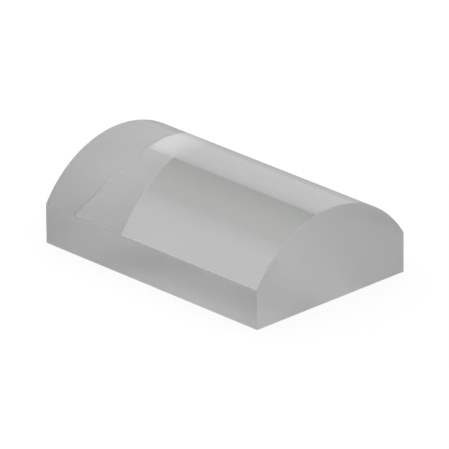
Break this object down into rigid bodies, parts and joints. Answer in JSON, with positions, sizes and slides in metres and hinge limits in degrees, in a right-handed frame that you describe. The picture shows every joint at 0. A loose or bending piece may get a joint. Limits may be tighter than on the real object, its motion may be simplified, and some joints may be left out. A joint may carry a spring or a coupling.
{
  "type": "plano-convex cylindrical lens",
  "caption": "Rectangular block of optical glass with a polished convex cylindrical top, a polished flat base and ground walls, which focuses light to a line.",
  "frame": {"origin": "middle of the polished flat base", "axes": "+X along the axis of the cylindrical face, between the end walls; +Y across the curvature, between the side walls; +Z along the optical axis, out of the crest of the convex face"},
  "size_m": [0.03, 0.02, 0.0098],
  "materials": {
    "optical_glass": "convex face and flat base polished bright, side walls, end walls and bevels fine ground and silky grey"
  },
  "bodies": {
    "root": {"cylindrical_lens": "optical_glass"}
  },
  "joints": []
}
